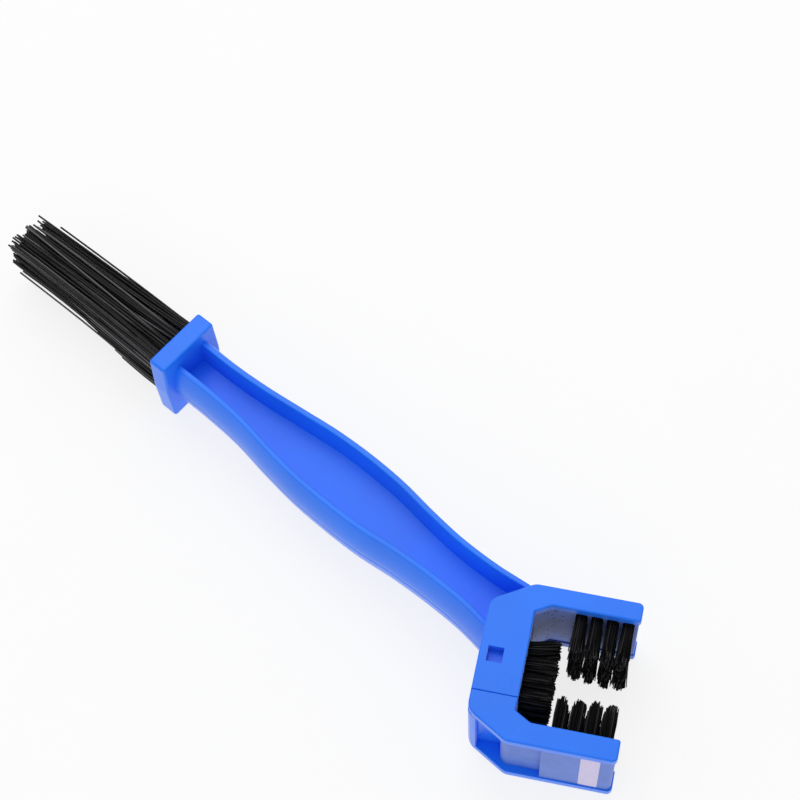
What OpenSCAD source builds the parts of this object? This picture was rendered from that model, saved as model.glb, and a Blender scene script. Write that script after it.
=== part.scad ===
// Hand brush for bicycle chains: a U-shaped head with three bristle pads,
// an H-section handle and a stiff brush at its other end.
// Millimetres, lying flat with +Z up. X runs along the handle towards the head.

/* [Head] */
// Width across the outer faces of the two jaws
head_w = 50; // [49:0.5:56]
// Thickness of the head, plate face to plate face
head_t = 33; // [32:0.5:40]
// Reach of the jaws from the back of the head
head_reach = 45.6; // [45:0.2:52]
// Thickness of the back of the head
back_t = 14; // [13.8:0.1:16]
// Thickness of the jaw that is moulded with the handle
fixed_jaw_t = 6; // [6:0.1:7]
// Thickness of the clip-on jaw
clip_jaw_t = 7; // [6.5:0.1:8]
// Distance of the joint line from the middle of the head
seam_y = 11.2; // [11:0.1:12]
// Gap left along the joint line
seam_gap = 0.25; // [0.2:0.05:0.4]
// Length of the outer chamfers along the jaws
chamfer_x = 12.7; // [12:0.1:14]
// Length of the outer chamfers along the back
chamfer_y = 7.55; // [7:0.05:8]
// Length of the inner chamfers along the jaws
inner_chamfer_x = 5; // [4.5:0.1:5.5]
// Length of the inner chamfers along the back
inner_chamfer_y = 2.8; // [2.5:0.1:3]
// Rounding of the outer corners
corner_r = 4.5; // [3:0.1:5]
// Rounding of the jaw tips
tip_r = 1.6; // [1:0.1:2.4]
// Thickness of the two face plates
plate_t = 3.2; // [3:0.1:4]
// Set-back of the jaw walls between the plates
wall_recess = 0.5; // [0.2:0.05:0.6]

/* [Clip-on jaw] */
// Width of the tongue that enters the back of the head
tongue_w = 4.8; // [4:0.1:4.8]
// Length of the tongue past the joint line
tongue_l = 15; // [14.4:0.1:16]
// Distance of the tongue from the back face
tongue_x = 2.5; // [2.4:0.1:2.6]
// Running clearance round the tongue
tongue_gap = 0.3; // [0.3:0.05:0.5]
// Thickness of the latch finger
finger_t = 2; // [1.6:0.1:2.2]
// Height of the barb on the latch finger
barb_h = 2.6; // [2.2:0.1:3]
// Room that the latch finger has to bend into
flex_gap = 2.8; // [2.7:0.1:3.2]
// Depth of the latch finger's root inside the jaw
finger_root = 2.8; // [2:0.1:3]
// Size of the latch windows along the back of the head
window_l = 4.85; // [4.6:0.05:5.2]
// Middle of the latch windows from the middle of the head
window_y = 0.47; // [0.3:0.01:0.6]
// Wall of the corner pocket at the back face
pocket_wall = 2.9; // [2.5:0.1:3.2]
// Depth of the corner pocket's floor wall below the jaw face
pocket_floor = 8.5; // [8:0.1:9]
// Start of the raised inner wall of the corner pocket
pocket_step_x = 10.6; // [10:0.1:11]
// Set-back of that raised wall from the jaw face
pocket_step = 2.45; // [2.2:0.05:2.8]
// Rounding of the raised wall
pocket_r = 3; // [2:0.1:3.4]
// Start of the solid part of the clip-on jaw
solid_x = 23.3; // [23:0.1:24]

/* [Handle] */
// Length of the handle from the collar to the back of the head
handle_l = 137.7; // [135:0.1:145]
// Sideways place of the head's middle from the handle's middle
head_side = 18.95; // [18:0.05:20]
// Angle of the head to the handle
head_angle = 29; // [28:0.5:30]
// Width over the flange edges at the swell
handle_w = 22; // [21:0.5:24]
// Depth of the handle at the collar
handle_d_collar = 21.2; // [20:0.1:23]
// Depth of the handle at the head
handle_d_head = 24.4; // [23:0.1:26]
// Bulge of the flanges at mid depth
bulge = 2.5; // [1.5:0.1:3]
// Thickness of the flanges at their edges
flange_t = 1.7; // [1.5:0.1:2]
// Extra thickness of the flanges at the web
flange_draft = 0.6; // [0.3:0.1:0.8]
// Thickness of the web
web_t = 2.4; // [2:0.1:3]
// Thickness of the small rib beside the head
rib_t = 1.6; // [1.2:0.1:2]

/* [Collar] */
// Thickness of the collar along the handle
collar_t = 6.5; // [6.3:0.1:8]
// Width of the collar
collar_w = 23; // [22.6:0.1:26]
// Depth of the collar
collar_d = 31.1; // [29:0.1:32]
// Rounding of the collar's edges
collar_r = 1.5; // [1:0.1:2]
// Bulge of the collar's ends at mid depth
collar_bulge = 0.6; // [0.2:0.1:1]

/* [Bristles] */
// Diameter of the tuft holes
hole_d = 4; // [3.6:0.05:4.1]
// Depth of the tuft holes
hole_depth = 3.8; // [3.6:0.05:4.2]
// Clearance of a tuft in its hole
tuft_gap = 0.05; // [0.02:0.01:0.1]
// Pitch of the tufts along the jaws
jaw_pitch = 4.75; // [4.5:0.05:4.8]
// First tuft of the fixed jaw from the back of the head
fixed_first_x = 27.85; // [27:0.05:28]
// First tuft of the clip-on jaw from the back of the head
clip_first_x = 27; // [26.8:0.05:28]
// Pitch of the tufts along the back
back_pitch = 5; // [4.8:0.05:5.1]
// Middle of the back pad from the middle of the head
back_pad_y = 1; // [0.8:0.1:1.4]
// Pitch of the tufts through the thickness
row_pitch = 5.5; // [5:0.05:5.6]
// Free length of the fixed jaw's tufts
fixed_tuft_l = 12; // [10:0.1:12.4]
// Free length of the clip-on jaw's tufts
clip_tuft_l = 11.3; // [10:0.1:12]
// Free length of the back's tufts
back_tuft_l = 9.7; // [8:0.1:10]
// Width of a head strand
strand_d = 1; // [0.7:0.05:1.05]
// Width of the hidden bar of backing that joins a column's roots
backing_w = 1; // [0.6:0.1:1.4]
// Thickness of that bar
backing_t = 0.8; // [0.5:0.1:0.9]

/* [End brush] */
// Free length of the end brush
brush_l = 72.5; // [60:0.5:80]
// Pitch of its tufts across the collar
brush_pitch_y = 4.7; // [4.5:0.05:4.8]
// Pitch of its tufts through the collar's depth
brush_pitch_z = 4.9; // [4.7:0.05:5.2]
// Width of an end brush strand
brush_strand_d = 0.9; // [0.7:0.05:0.9]
// Sideways bow of the end brush at its middle
brush_bow = 1; // [0:0.1:1.2]
// Sideways drift of its tips
brush_drift = 0.8; // [0:0.1:3]
// Drop of its tips
brush_drop = 0.6; // [0:0.1:2]

/* [Anchors and label] */
// Thickness of the anchor wire
anchor_t = 0.4; // [0.3:0.05:0.5]
// Height of the anchor wire
anchor_h = 1.3; // [1:0.05:1.4]
// Length of one anchor
anchor_l = 3.4; // [3:0.05:3.5]
// Width of the blank label
label_w = 5.8; // [5:0.1:6.5]
// Height of the blank label
label_h = 25; // [20:0.5:25.5]
// Thickness of the blank label
label_t = 0.15; // [0.1:0.05:0.3]
// Middle of the label from the tip of the jaw
label_tip_gap = 7.6; // [6:0.1:9.5]

/* [Hidden] */

// Overrun of every cut, and how far parts run into the solid that carries them
over = 1;
join = 2;
// Colours of the plastic, the bristles, the anchors and the label
blue = [0.16, 0.42, 0.98];
black = [0.05, 0.05, 0.06];
steel = [0.72, 0.73, 0.75];
pale = [0.80, 0.76, 0.92];

// Counts of the patterns and of the facets on curves
rows = 5;
columns = 4;
head_strands = 5;
brush_strands = 6;
corner_steps = 5;
handle_steps = 30;
side_steps = 6;
head_plug_sides = 4;
brush_plug_sides = 6;
hole_sides = 12;

// Half sizes
half_t = head_t / 2;
half_w = head_w / 2;
plate_z = half_t - plate_t;
fixed_inner_y = half_w - fixed_jaw_t;
clip_inner_y = half_w - clip_jaw_t;

// Half widths of the handle at even steps from the collar to the head,
// as shares of half the width: the side that meets the outer jaw, then the other
far_side_shares = [0.63, 0.62, 0.69, 0.82, 0.95, 0.99, 0.94, 0.79, 0.69, 0.71, 0.83];
near_side_shares = [0.58, 0.59, 0.66, 0.84, 0.98, 1.02, 0.99, 0.86, 0.80, 0.82, 0.96];

// A point of the head's plan in the handle's plan
function to_handle(p) = [
    handle_l + p.x * cos(head_angle) - p.y * sin(head_angle),
    -head_side + p.x * sin(head_angle) + p.y * cos(head_angle)];

// Points of one rounded corner: b is the corner, a and c its neighbours
function unit(v) = v / norm(v);
function corner(a, b, c, r) =
    let(u = unit(a - b), v = unit(c - b), half = acos(u * v) / 2,
        centre = b + unit(u + v) * r / sin(half),
        from = b + u * r / tan(half) - centre,
        turn = sign(cross(b - a, c - b)) * (180 - 2 * half),
        start = atan2(from.y, from.x))
    [for (i = [0:corner_steps])
        centre + r * [cos(start + turn * i / corner_steps), sin(start + turn * i / corner_steps)]];

// An outline from rows of [x, y, radius]
function rounded(rows_in) =
    let(n = len(rows_in))
    [for (i = [0:n - 1])
        let(b = rows_in[i], a = rows_in[(i + n - 1) % n], c = rows_in[(i + 1) % n])
        each (b.z > 0 ? corner([a.x, a.y], [b.x, b.y], [c.x, c.y], b.z) : [[b.x, b.y]])];

// Plans of the two halves of the head
fixed_plan = rounded([
    [0, -seam_y, 0], [back_t, -seam_y, 0],
    [back_t, fixed_inner_y - inner_chamfer_y, 0],
    [back_t + inner_chamfer_x, fixed_inner_y, tip_r],
    [head_reach, fixed_inner_y, tip_r / 2],
    [head_reach, half_w, tip_r],
    [chamfer_x, half_w, corner_r],
    [0, half_w - chamfer_y, corner_r]]);
clip_plan = rounded([
    [0, -seam_y - seam_gap, 0],
    [0, chamfer_y - half_w, corner_r],
    [chamfer_x, -half_w, corner_r],
    [head_reach, -half_w, tip_r],
    [head_reach, -clip_inner_y, tip_r / 2],
    [back_t + inner_chamfer_x, -clip_inner_y, tip_r],
    [back_t, inner_chamfer_y - clip_inner_y, 0],
    [back_t, -seam_y - seam_gap, 0]]);

// Solid core of the clip-on jaw between its plates, with the corner pocket left out
chamfer_at_wall = half_w - chamfer_y * (1 - pocket_wall / chamfer_x);
clip_core_plan = rounded([
    [0, -seam_y - seam_gap, 0],
    [0, chamfer_y - half_w, pocket_wall],
    [pocket_wall, -chamfer_at_wall, 0],
    [pocket_wall, pocket_floor - half_w, 0],
    [pocket_step_x, pocket_floor - half_w, 0],
    [pocket_step_x, pocket_step - half_w, pocket_r],
    [solid_x, pocket_step - half_w, 0],
    [solid_x, wall_recess - half_w, 0],
    [head_reach - wall_recess, wall_recess - half_w, tip_r],
    [head_reach - wall_recess, -clip_inner_y - wall_recess, 0],
    [back_t + inner_chamfer_x, -clip_inner_y - wall_recess, 0],
    [back_t, inner_chamfer_y - clip_inner_y, 0],
    [back_t, -seam_y - seam_gap, 0]]);

// Box of the whole brush in the handle's plan, to set the origin under its middle
outline = [for (p = concat(fixed_plan, clip_plan)) to_handle(p)];
x_low = -collar_t - brush_l;
x_high = max([for (p = outline) p.x]);
y_low = min([for (p = outline) p.y]);
y_high = max([for (p = outline) p.y]);

module in_handle() translate([-(x_low + x_high) / 2, -(y_low + y_high) / 2, half_t]) children();
module in_head() in_handle() translate([handle_l, -head_side]) rotate(head_angle) children();

// A prism through the head between two heights
module slab(plan, low, high) translate([0, 0, low]) linear_extrude(high - low) polygon(plan);

// A box given by its two corners
module block(low, high) translate(low) cube(high - low);

// A smooth value from an even table of shares, at s from 0 to 1
function curve(t, s) =
    let(n = len(t) - 1, i = min(floor(s * n), n - 1), u = s * n - i,
        a = t[max(i - 1, 0)], b = t[i], c = t[i + 1], d = t[min(i + 2, n)])
    (2 * b + (c - a) * u + (2 * a - 5 * b + 4 * c - d) * u * u
        + (3 * b - a - 3 * c + d) * u * u * u) / 2;

// Skin of triangles over rings with equal counts of points, closed at both ends
module skin(rings) {
    m = len(rings[0]);
    n = len(rings);
    polyhedron(
        points = [for (ring = rings) each ring],
        faces = concat(
            [for (i = [1:m - 2]) [0, i, i + 1]],
            [for (i = [1:m - 2]) [0, i + 1, i] + (n - 1) * m * [1, 1, 1]],
            [for (k = [0:n - 2], i = [0:m - 1])
                let(j = (i + 1) % m) [k * m + i, (k + 1) * m + i, k * m + j]],
            [for (k = [0:n - 2], i = [0:m - 1])
                let(j = (i + 1) % m) [k * m + j, (k + 1) * m + i, (k + 1) * m + j]]));
}

// Handle: where it ends inside the head, its half depth and its two sides
handle_end = to_handle([chamfer_x, half_w]).x + join;
handle_start = -join;
function handle_x(k) = handle_start + (handle_end - handle_start) * k / handle_steps;
function share_at(x) = min(max(x / (handle_end - join), 0), 1);
function half_depth(s) = (handle_d_collar + (handle_d_head - handle_d_collar) * s) / 2;
function far_side(s) = curve(far_side_shares, s) * handle_w / 2;
function near_side(s) = curve(near_side_shares, s) * handle_w / 2;
// The far flange loses nearly all its bulge where it runs into the jaw
flat_end_share = 0.95;
function far_bulge(s) = bulge * (1 - flat_end_share * pow(s, 6));

function handle_ring(x) =
    let(s = share_at(x), d = half_depth(s))
    concat(
        [for (i = [0:side_steps])
            let(u = 2 * i / side_steps - 1) [x, far_side(s) + far_bulge(s) * (1 - u * u), d * u]],
        [for (i = [side_steps:-1:0])
            let(u = 2 * i / side_steps - 1) [x, -near_side(s) - bulge * (1 - u * u), d * u]]);

// The trough on the upper face of the handle
function trough_ring(x) =
    let(s = share_at(x), wide = flange_t, deep = flange_t + flange_draft,
        high = half_depth(s) + over)
    [[x, far_side(s) - deep, web_t / 2], [x, far_side(s) - wide, high],
     [x, wide - near_side(s), high], [x, deep - near_side(s), web_t / 2]];
module trough()
    skin([for (k = [0:handle_steps]) trough_ring(k == 0 ? 0 : handle_x(k) + (k == handle_steps ? over : 0))]);

module handle_bar() {
    difference() {
        skin([for (k = [0:handle_steps]) handle_ring(handle_x(k))]);
        trough();
        mirror([0, 0, 1]) trough();
    }
}

// Low rib on the lower face, from the head's corner to the near flange
rib_h_share = 0.5;
module corner_rib() {
    from = to_handle([rib_t, half_w - chamfer_y]);
    s = share_at(from.x);
    block([from.x - rib_t, -near_side(s), -rib_h_share * half_depth(s)], [from.x, from.y, 0]);
}

module collar() {
    half_d = collar_d / 2;
    half = collar_w / 2;
    intersection() {
        translate([-collar_t, -half - collar_bulge, -half_d])
            linear_extrude(collar_d)
                polygon(rounded([[0, 0, collar_r], [collar_t, 0, collar_r],
                    [collar_t, collar_w + 2 * collar_bulge, collar_r],
                    [0, collar_w + 2 * collar_bulge, collar_r]]));
        translate([over, 0, 0]) rotate([0, -90, 0])
            linear_extrude(collar_t + 2 * over)
                polygon(rounded([[-half_d, -half, collar_r], [0, -half - collar_bulge, 0],
                    [half_d, -half, collar_r], [half_d, half, collar_r],
                    [0, half + collar_bulge, 0], [-half_d, half, collar_r]]));
    }
}

// Tuft holes of each pad, drawn along +Z out of the wall and then turned into place
jaw_wall_fixed = fixed_inner_y + wall_recess;
jaw_wall_clip = clip_inner_y + wall_recess;
function middle(i, n, pitch) = (i - (n - 1) / 2) * pitch;
module at_fixed(c, r)
    in_head() translate([fixed_first_x + c * jaw_pitch, jaw_wall_fixed, middle(r, rows, row_pitch)])
        rotate([90, 0, 0]) children();
module at_clip(c, r)
    in_head() translate([clip_first_x + c * jaw_pitch, -jaw_wall_clip, middle(r, rows, row_pitch)])
        rotate([-90, 0, 0]) children();
module at_back(c, r)
    in_head() translate([back_t, -back_pad_y + middle(c, columns, back_pitch),
                         middle(r, rows, row_pitch)])
        rotate([90, 0, 90]) children();
module at_end(c, r)
    in_handle() translate([-collar_t, middle(c, columns, brush_pitch_y),
                           middle(r, rows, brush_pitch_z)])
        rotate([90, 0, -90]) children();
module tuft_hole() translate([0, 0, -hole_depth])
    cylinder(d = hole_d, h = hole_depth + over, $fn = hole_sides);

// Bar of backing, hidden in the wall, that joins the roots of a column of tufts;
// the cut for it is wider all round by gap
module backing(pitch, gap) {
    half = (rows - 1) / 2 * pitch;
    block([-backing_w / 2 - gap, -half, anchor_h - hole_depth - gap],
          [backing_w / 2 + gap, half, anchor_h - hole_depth + backing_t + gap]);
}
mid_row = (rows - 1) / 2;

// Channel for the tongue, and the latch windows through both plates
channel_low = tongue_x - tongue_gap;
channel_high = tongue_x + tongue_w + tongue_gap;
module channel() {
    block([channel_low, -seam_y - over, -plate_z],
          [channel_high, tongue_l - seam_y + tongue_gap, plate_z]);
    block([tongue_x, window_y - window_l / 2, -half_t - over],
          [tongue_x + tongue_w, window_y + window_l / 2, half_t + over]);
}

module handle_moulding() color(blue) difference() {
    union() {
        in_handle() {
            handle_bar();
            corner_rib();
            collar();
        }
        in_head() difference() {
            slab(fixed_plan, -half_t, half_t);
            // The jaw's walls stand back between the plates
            block([back_t + inner_chamfer_x, fixed_inner_y - over, -plate_z],
                  [head_reach + over, fixed_inner_y + wall_recess, plate_z]);
            block([head_reach - wall_recess, fixed_inner_y - over, -plate_z],
                  [head_reach + over, half_w + over, plate_z]);
            block([chamfer_x + corner_r, half_w - wall_recess, -plate_z],
                  [head_reach + over, half_w + over, plate_z]);
        }
    }
    in_head() channel();
    for (c = [0:columns - 1], r = [0:rows - 1]) {
        at_fixed(c, r) tuft_hole();
        at_back(c, r) tuft_hole();
        at_end(c, r) tuft_hole();
    }
    for (c = [0:columns - 1]) {
        at_fixed(c, mid_row) backing(row_pitch, tuft_gap);
        at_back(c, mid_row) backing(row_pitch, tuft_gap);
        at_end(c, mid_row) backing(brush_pitch_z, tuft_gap);
    }
}

// Heights of the latch finger's bottom and of the rigid tongue's bottom
tongue_top = plate_z - tongue_gap;
finger_low = tongue_gap - plate_z;
tongue_low = finger_low + finger_t + flex_gap;
tongue_tip = tongue_l - seam_y;
finger_back = -seam_y - seam_gap - finger_root;

module clip_jaw() color(blue) difference() {
    in_head() difference() {
        union() {
            slab(clip_plan, -half_t, -plate_z);
            slab(clip_plan, plate_z, half_t);
            slab(clip_core_plan, -plate_z - over, plate_z + over);
            block([tongue_x, finger_back, tongue_low],
                  [tongue_x + tongue_w, tongue_tip, tongue_top]);
        }
        // Room for the finger's root inside the jaw
        block([channel_low, finger_back, -plate_z],
              [channel_high, over - seam_y, tongue_low]);
    }
    for (c = [0:columns - 1], r = [0:rows - 1]) at_clip(c, r) tuft_hole();
    for (c = [0:columns - 1]) at_clip(c, mid_row) backing(row_pitch, tuft_gap);
}

// The finger is moulded in one with the jaw and bends upward to let the barb go
module latch_finger() color(blue) in_head()
    translate([tongue_x + tongue_w, 0, 0]) rotate([0, -90, 0])
        linear_extrude(tongue_w)
            polygon([
                [finger_low + finger_t, finger_back],
                [finger_low + finger_t, tongue_tip],
                [finger_low, tongue_tip],
                [finger_low, window_y + window_l / 2 - tongue_gap],
                [finger_low - barb_h, window_y - window_l / 2 + 2 * tongue_gap],
                [finger_low - barb_h, window_y - window_l / 2 + tongue_gap],
                [finger_low, window_y - window_l / 2 + tongue_gap],
                [finger_low, finger_back]]);

label_x = head_reach - label_tip_gap;
module blank_label() color(pale) in_head()
    block([label_x - label_w / 2, wall_recess - half_w - label_t, -label_h / 2],
          [label_x + label_w / 2, wall_recess - half_w, label_h / 2]);

// One three-sided strand through a list of [x, y, z] centres, along +Z
module strand(path, d, turn)
    skin([for (p = path) [for (i = [0:2])
        p + d / 2 * [cos(turn + 120 * i), sin(turn + 120 * i), 0]]]);

// Strand i of n in a tuft: the first stands in the middle, the others round it from an angle
function spot(i, n, r, from = 0) =
    i == 0 ? [0, 0] : r * [cos(360 * i / (n - 1) + from), sin(360 * i / (n - 1) + from)];

plug_r = hole_d / 2 - tuft_gap;
sink = strand_d / 4;
strand_ring_share = 0.6;
strand_flare_share = 1.25;
strand_wear_share = 0.09;
module plug(sides) translate([0, 0, anchor_h - hole_depth]) rotate(180 / sides + 90)
    cylinder(r = plug_r, h = hole_depth - anchor_h, $fn = sides);

// A short tuft: its root fills the hole, and its strands spread a little
module head_tuft(length, seed) {
    wear = rands(0, strand_wear_share, head_strands, seed);
    plug(head_plug_sides);
    for (i = [0:head_strands - 1]) {
        p = spot(i, head_strands, strand_ring_share * plug_r, 180 / head_plug_sides);
        q = p * strand_flare_share;
        strand([[p.x, p.y, -sink], [p.x, p.y, 0], [q.x, q.y, length * (1 - wear[i])]],
               strand_d, 30 * i);
    }
}

// A long tuft of the end brush: the whole bundle draws in and drifts towards its tips,
// and place is where the tuft stands on the collar
bundle_tip_shares = [0.76, 0.72];
brush_ring_share = 0.62;
brush_wear_share = 0.07;
module brush_tuft(place, seed) {
    wear = rands(0, brush_wear_share, brush_strands, seed);
    plug(brush_plug_sides);
    for (i = [0:brush_strands - 1]) {
        p = spot(i, brush_strands, brush_ring_share * plug_r);
        inward = [(place.x + p.x) * (bundle_tip_shares.x - 1) + brush_drift,
                  (place.y + p.y) * (bundle_tip_shares.y - 1) - brush_drop];
        length = brush_l * (i == 0 ? 1 : 1 - wear[i]);
        strand([[p.x, p.y, -sink],
                [p.x + inward.x / 2 - brush_bow, p.y + inward.y / 2, length / 2],
                [p.x + inward.x, p.y + inward.y, length]],
               brush_strand_d, 40 * i);
    }
}

module fixed_jaw_tufts(c) color(black) {
    at_fixed(c, mid_row) backing(row_pitch, 0);
    for (r = [0:rows - 1]) at_fixed(c, r) head_tuft(fixed_tuft_l + wall_recess, 10 * c + r + 1);
}
module back_tufts(c) color(black) {
    at_back(c, mid_row) backing(row_pitch, 0);
    for (r = [0:rows - 1]) at_back(c, r) head_tuft(back_tuft_l, 100 + 10 * c + r);
}
module clip_jaw_tufts(c) color(black) {
    at_clip(c, mid_row) backing(row_pitch, 0);
    for (r = [0:rows - 1]) at_clip(c, r) head_tuft(clip_tuft_l + wall_recess, 200 + 10 * c + r);
}
module end_tufts(c) color(black) {
    at_end(c, mid_row) backing(brush_pitch_z, 0);
    for (r = [0:rows - 1]) at_end(c, r)
        brush_tuft([-middle(c, columns, brush_pitch_y), middle(r, rows, brush_pitch_z)], 300 + 10 * c + r);
}

// Flat-wire anchors at the bottom of the tuft holes
module anchor() translate([-anchor_l / 2, -anchor_t / 2, -hole_depth]) cube([anchor_l, anchor_t, anchor_h]);
module fixed_jaw_anchors() color(steel)
    for (c = [0:columns - 1], r = [0:rows - 1]) at_fixed(c, r) anchor();
module back_anchors() color(steel)
    for (c = [0:columns - 1], r = [0:rows - 1]) at_back(c, r) anchor();
module clip_jaw_anchors() color(steel)
    for (c = [0:columns - 1], r = [0:rows - 1]) at_clip(c, r) anchor();
module end_anchors() color(steel)
    for (c = [0:columns - 1], r = [0:rows - 1]) at_end(c, r) anchor();

handle_moulding();
clip_jaw();
latch_finger();
blank_label();
fixed_jaw_tufts(0);  // fixed_jaw_tufts_1
fixed_jaw_tufts(1);  // fixed_jaw_tufts_2
fixed_jaw_tufts(2);  // fixed_jaw_tufts_3
fixed_jaw_tufts(3);  // fixed_jaw_tufts_4
back_tufts(0);  // back_tufts_1
back_tufts(1);  // back_tufts_2
back_tufts(2);  // back_tufts_3
back_tufts(3);  // back_tufts_4
clip_jaw_tufts(0);  // clip_jaw_tufts_1
clip_jaw_tufts(1);  // clip_jaw_tufts_2
clip_jaw_tufts(2);  // clip_jaw_tufts_3
clip_jaw_tufts(3);  // clip_jaw_tufts_4
end_tufts(0);  // end_tufts_1
end_tufts(1);  // end_tufts_2
end_tufts(2);  // end_tufts_3
end_tufts(3);  // end_tufts_4
fixed_jaw_anchors();
back_anchors();
clip_jaw_anchors();
end_anchors();
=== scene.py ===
"""Bicycle chain brush: a U-shaped head with three bristle pads, an H-section handle
and a stiff brush at the handle's other end. Metres, with the frame's own axes."""
import math
from types import SimpleNamespace

import bmesh
import bpy
import numpy as np
from mathutils import Matrix, Vector
from mathutils.geometry import tessellate_polygon


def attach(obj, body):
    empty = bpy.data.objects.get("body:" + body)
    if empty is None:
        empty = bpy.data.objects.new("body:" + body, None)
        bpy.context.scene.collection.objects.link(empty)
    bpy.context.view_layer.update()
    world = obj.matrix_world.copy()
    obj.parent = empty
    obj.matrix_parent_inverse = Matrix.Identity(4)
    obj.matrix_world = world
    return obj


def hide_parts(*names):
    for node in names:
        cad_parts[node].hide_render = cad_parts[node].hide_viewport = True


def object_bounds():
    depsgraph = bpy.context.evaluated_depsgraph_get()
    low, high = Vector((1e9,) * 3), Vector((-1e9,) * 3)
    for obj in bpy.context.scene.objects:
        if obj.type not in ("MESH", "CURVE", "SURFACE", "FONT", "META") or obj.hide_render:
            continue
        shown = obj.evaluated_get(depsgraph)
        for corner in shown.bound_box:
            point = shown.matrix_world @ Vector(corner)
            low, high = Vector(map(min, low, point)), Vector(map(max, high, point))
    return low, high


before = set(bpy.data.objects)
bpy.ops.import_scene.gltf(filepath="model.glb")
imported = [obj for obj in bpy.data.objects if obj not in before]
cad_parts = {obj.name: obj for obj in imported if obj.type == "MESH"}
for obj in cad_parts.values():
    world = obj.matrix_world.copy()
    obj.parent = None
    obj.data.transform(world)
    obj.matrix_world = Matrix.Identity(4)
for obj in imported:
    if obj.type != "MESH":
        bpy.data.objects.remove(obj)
CAD_BOX = [list(corner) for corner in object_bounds()]

bl_info = {
    "name": "Bicycle chain brush",
    "version": (1, 0, 0),
    "blender": (4, 5, 0),
    "location": "View3D > Sidebar > Chain brush",
    "description": "Builds a hand brush for bicycle chains round its construction frame",
    "category": "Object",
}


# Settings that a user would change

def length(name, description, default):
    return bpy.props.FloatProperty(name=name, description=description, default=default,
                                   min=0, precision=5, unit="LENGTH")


def count(name, description, default):
    return bpy.props.IntProperty(name=name, description=description, default=default, min=1)


def share(name, description, default):
    return bpy.props.FloatProperty(name=name, description=description, default=default,
                                   min=0, soft_max=1, subtype="FACTOR")


def colour(name, description, default):
    return bpy.props.FloatVectorProperty(name=name, description=description, default=default,
                                         size=3, min=0, max=1, subtype="COLOR")


class ChainBrushHeadSettings(bpy.types.PropertyGroup):
    width: length("Width", "Across the outer faces of the two jaws", 0.050)
    thickness: length("Thickness", "From one face plate to the other", 0.033)
    reach: length("Reach", "Of the jaws from the back of the head", 0.0456)
    back: length("Back", "Thickness of the back of the head", 0.014)
    fixed_jaw: length("Fixed jaw", "Thickness of the jaw moulded with the handle", 0.006)
    clip_jaw: length("Clip-on jaw", "Thickness of the clip-on jaw", 0.007)
    seam: length("Joint line", "Distance of the joint line from the head's middle", 0.0112)
    seam_gap: length("Joint gap", "Gap left along the joint line", 0.00008)
    plate: length("Plates", "Thickness of the two face plates", 0.0032)
    recess: length("Wall set-back", "Set-back of the jaw walls between the plates", 0.0005)
    edge: length("Edge rounding", "Rounding of the plates' edges", 0.00055)
    tongue_width: length("Tongue width", "Of the tongue inside the back", 0.0048)
    tongue_length: length("Tongue length", "Past the joint line", 0.015)
    window: length("Window", "Size of the latch windows along the back", 0.00485)


class ChainBrushHandleSettings(bpy.types.PropertyGroup):
    length: length("Length", "From the collar to the back of the head", 0.1377)
    side: length("Side offset", "Of the head's middle from the handle's", 0.01895)
    angle: bpy.props.FloatProperty(name="Head angle", description="Of the head to the handle",
                                   default=math.radians(29), subtype="ANGLE")
    width: length("Width", "Over the flange edges at the swell", 0.022)
    depth_collar: length("Depth at collar", "Of the handle", 0.0212)
    depth_head: length("Depth at head", "Of the handle", 0.0244)
    bulge: length("Bulge", "Of the flanges at mid depth", 0.0025)
    flange: length("Flange", "Thickness of the flanges at their edges", 0.0017)
    draft: length("Draft", "Extra flange thickness at the web", 0.0006)
    web: length("Web", "Thickness of the web", 0.0024)
    collar_thickness: length("Collar thickness", "Along the handle", 0.0065)
    collar_width: length("Collar width", "Across the handle", 0.023)
    collar_depth: length("Collar depth", "Through the handle's depth", 0.0311)


class ChainBrushBristleSettings(bpy.types.PropertyGroup):
    tuft: length("Tuft diameter", "Diameter of a tuft where it leaves its hole", 0.0039)
    filament: length("Filament", "Diameter of a head filament", 0.00040)
    filaments: count("Filaments", "In each tuft of the head", 58)
    end_filament: length("End filament", "Diameter of an end brush filament", 0.00072)
    end_filaments: count("End filaments", "In each tuft of the end brush", 19)
    end_length: length("End length", "Free length of the end brush", 0.0725)


class ChainBrushFinishSettings(bpy.types.PropertyGroup):
    plastic: colour("Plastic", "Blue of the two mouldings", (0.009, 0.181, 0.97))
    plastic_roughness: share("Plastic roughness", "Of the mouldings", 0.34)
    pad_wall: colour("Pad wall", "Dulled plastic round the tufts", (0.11, 0.19, 0.58))
    bristle: colour("Bristles", "Black of the filaments", (0.0050, 0.0049, 0.0054))
    label: colour("Label", "Of the blank label", (0.60, 0.54, 0.80))


class ChainBrushStageSettings(bpy.types.PropertyGroup):
    lens: bpy.props.FloatProperty(name="Lens", description="Focal length in millimetres",
                                  default=92.34, min=1)
    sky: bpy.props.FloatProperty(name="Sky", description="Strength of the even light",
                                 default=0.62, min=0)
    glow: bpy.props.FloatProperty(name="Table", description="Strength of the lit table",
                                  default=1.0, min=0)
    key: bpy.props.FloatProperty(name="Key", description="Power of the large lamp", default=5.2,
                                 min=0, unit="POWER")


def scene_settings(kind):
    return getattr(bpy.context.scene, "chain_brush_" + kind)


def millimetres(kind):
    """The lengths of a settings group, in millimetres."""
    settings, values = scene_settings(kind), {}
    for name, prop in settings.bl_rna.properties.items():
        if prop.type == "FLOAT" and not prop.is_array and prop.unit == "LENGTH":
            values[name] = getattr(settings, name) * 1000
    return SimpleNamespace(**values)


# Plans and sections, in millimetres

def unit(v):
    return v / np.linalg.norm(v, axis=-1, keepdims=True)


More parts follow.
